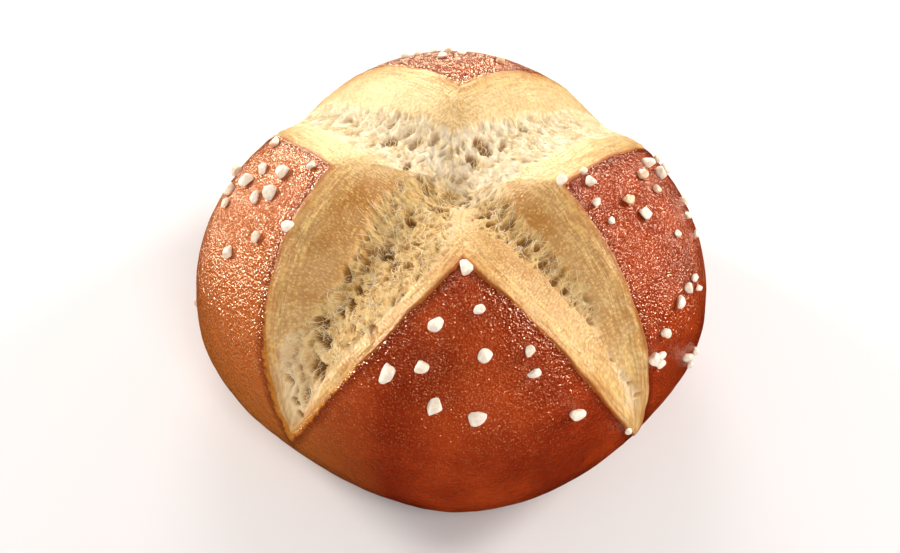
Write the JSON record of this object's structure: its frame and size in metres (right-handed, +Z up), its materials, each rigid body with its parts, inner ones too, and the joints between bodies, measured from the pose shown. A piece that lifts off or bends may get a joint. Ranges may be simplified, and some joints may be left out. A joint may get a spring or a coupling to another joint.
{
  "type": "pretzel roll",
  "caption": "Round lye-crust pretzel roll, scored with a cross that opened into a soft crumb between glossy brown petals with coarse salt.",
  "frame": {"origin": "middle of the flat underside, on the surface the roll rests on", "axes": "+Z up out of the scored top, -Y towards the front petal, +X to the right petal"},
  "size_m": [0.0998, 0.0998, 0.0536],
  "materials": {
    "crust": "glossy baked lye crust, chestnut to amber brown, with a fine orange-peel skin",
    "crumb": "matt torn wheat crumb, cream in the cuts and golden along their walls",
    "salt": "coarse white pretzel salt, slightly translucent"
  },
  "bodies": {
    "root": {"roll": "crust"}
  },
  "joints": []
}
